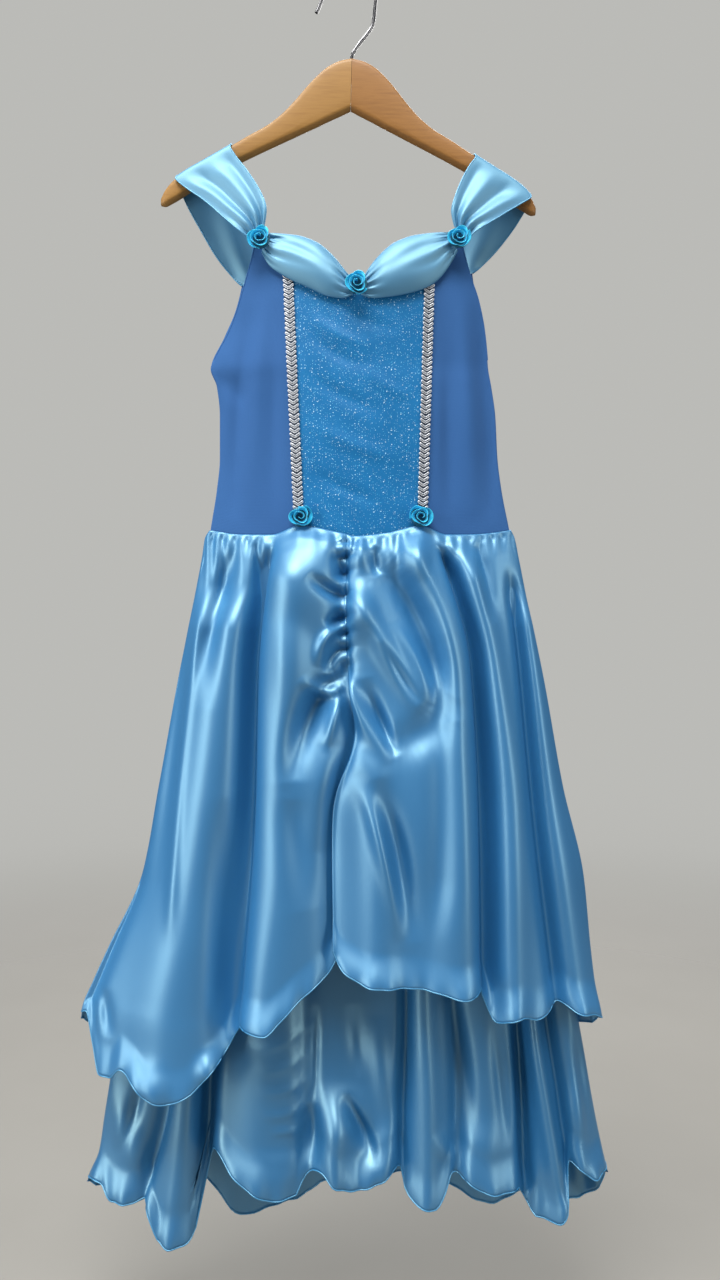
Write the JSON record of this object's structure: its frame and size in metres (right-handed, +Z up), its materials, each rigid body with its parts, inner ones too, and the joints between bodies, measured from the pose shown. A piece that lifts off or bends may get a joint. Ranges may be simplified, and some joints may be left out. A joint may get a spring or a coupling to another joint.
{
  "type": "princess costume dress on a wooden hanger",
  "caption": "Child's sleeveless costume dress with a fitted bodice, off-shoulder satin straps and a two-layer gathered satin skirt, hung flat on a wooden hanger.",
  "frame": {"origin": "inside of the hook's top, where the hanger hangs on its rail", "axes": "+Z up, +X to the right as seen from the front, the dress's front faces -Y"},
  "size_m": [0.5121, 0.1304, 1.2313],
  "materials": {
    "satin": "glossy polyester satin, sky blue",
    "knit": "matt stretch knit, periwinkle blue",
    "glitter_panel": "blue satin under tulle with fine glitter",
    "silver_braid": "silver gimp braid",
    "ribbon": "teal satin ribbon wound into roses",
    "wood_left": "varnished light wood, yellower",
    "wood_right": "varnished light wood, more orange",
    "hook_chrome": "polished steel wire"
  },
  "bodies": {
    "root": {"bodice_front_centre": "glitter_panel", "bodice_front_left": "knit", "bodice_front_right": "knit", "bodice_back": "knit", "braid_left": "silver_braid", "braid_right": "silver_braid", "swag_left": "satin", "swag_right": "satin", "strap_left": "satin", "strap_right": "satin", "overskirt_front_left": "satin", "overskirt_front_right": "satin", "overskirt_back": "satin", "underskirt_front": "satin", "underskirt_back": "satin", "rosette_neck_left": "ribbon", "rosette_neck_centre": "ribbon", "rosette_neck_right": "ribbon", "rosette_waist_left": "ribbon", "rosette_waist_right": "ribbon", "hanger_arm_left": "wood_left", "hanger_arm_right": "wood_right", "hanger_hook": "hook_chrome"}
  },
  "joints": []
}
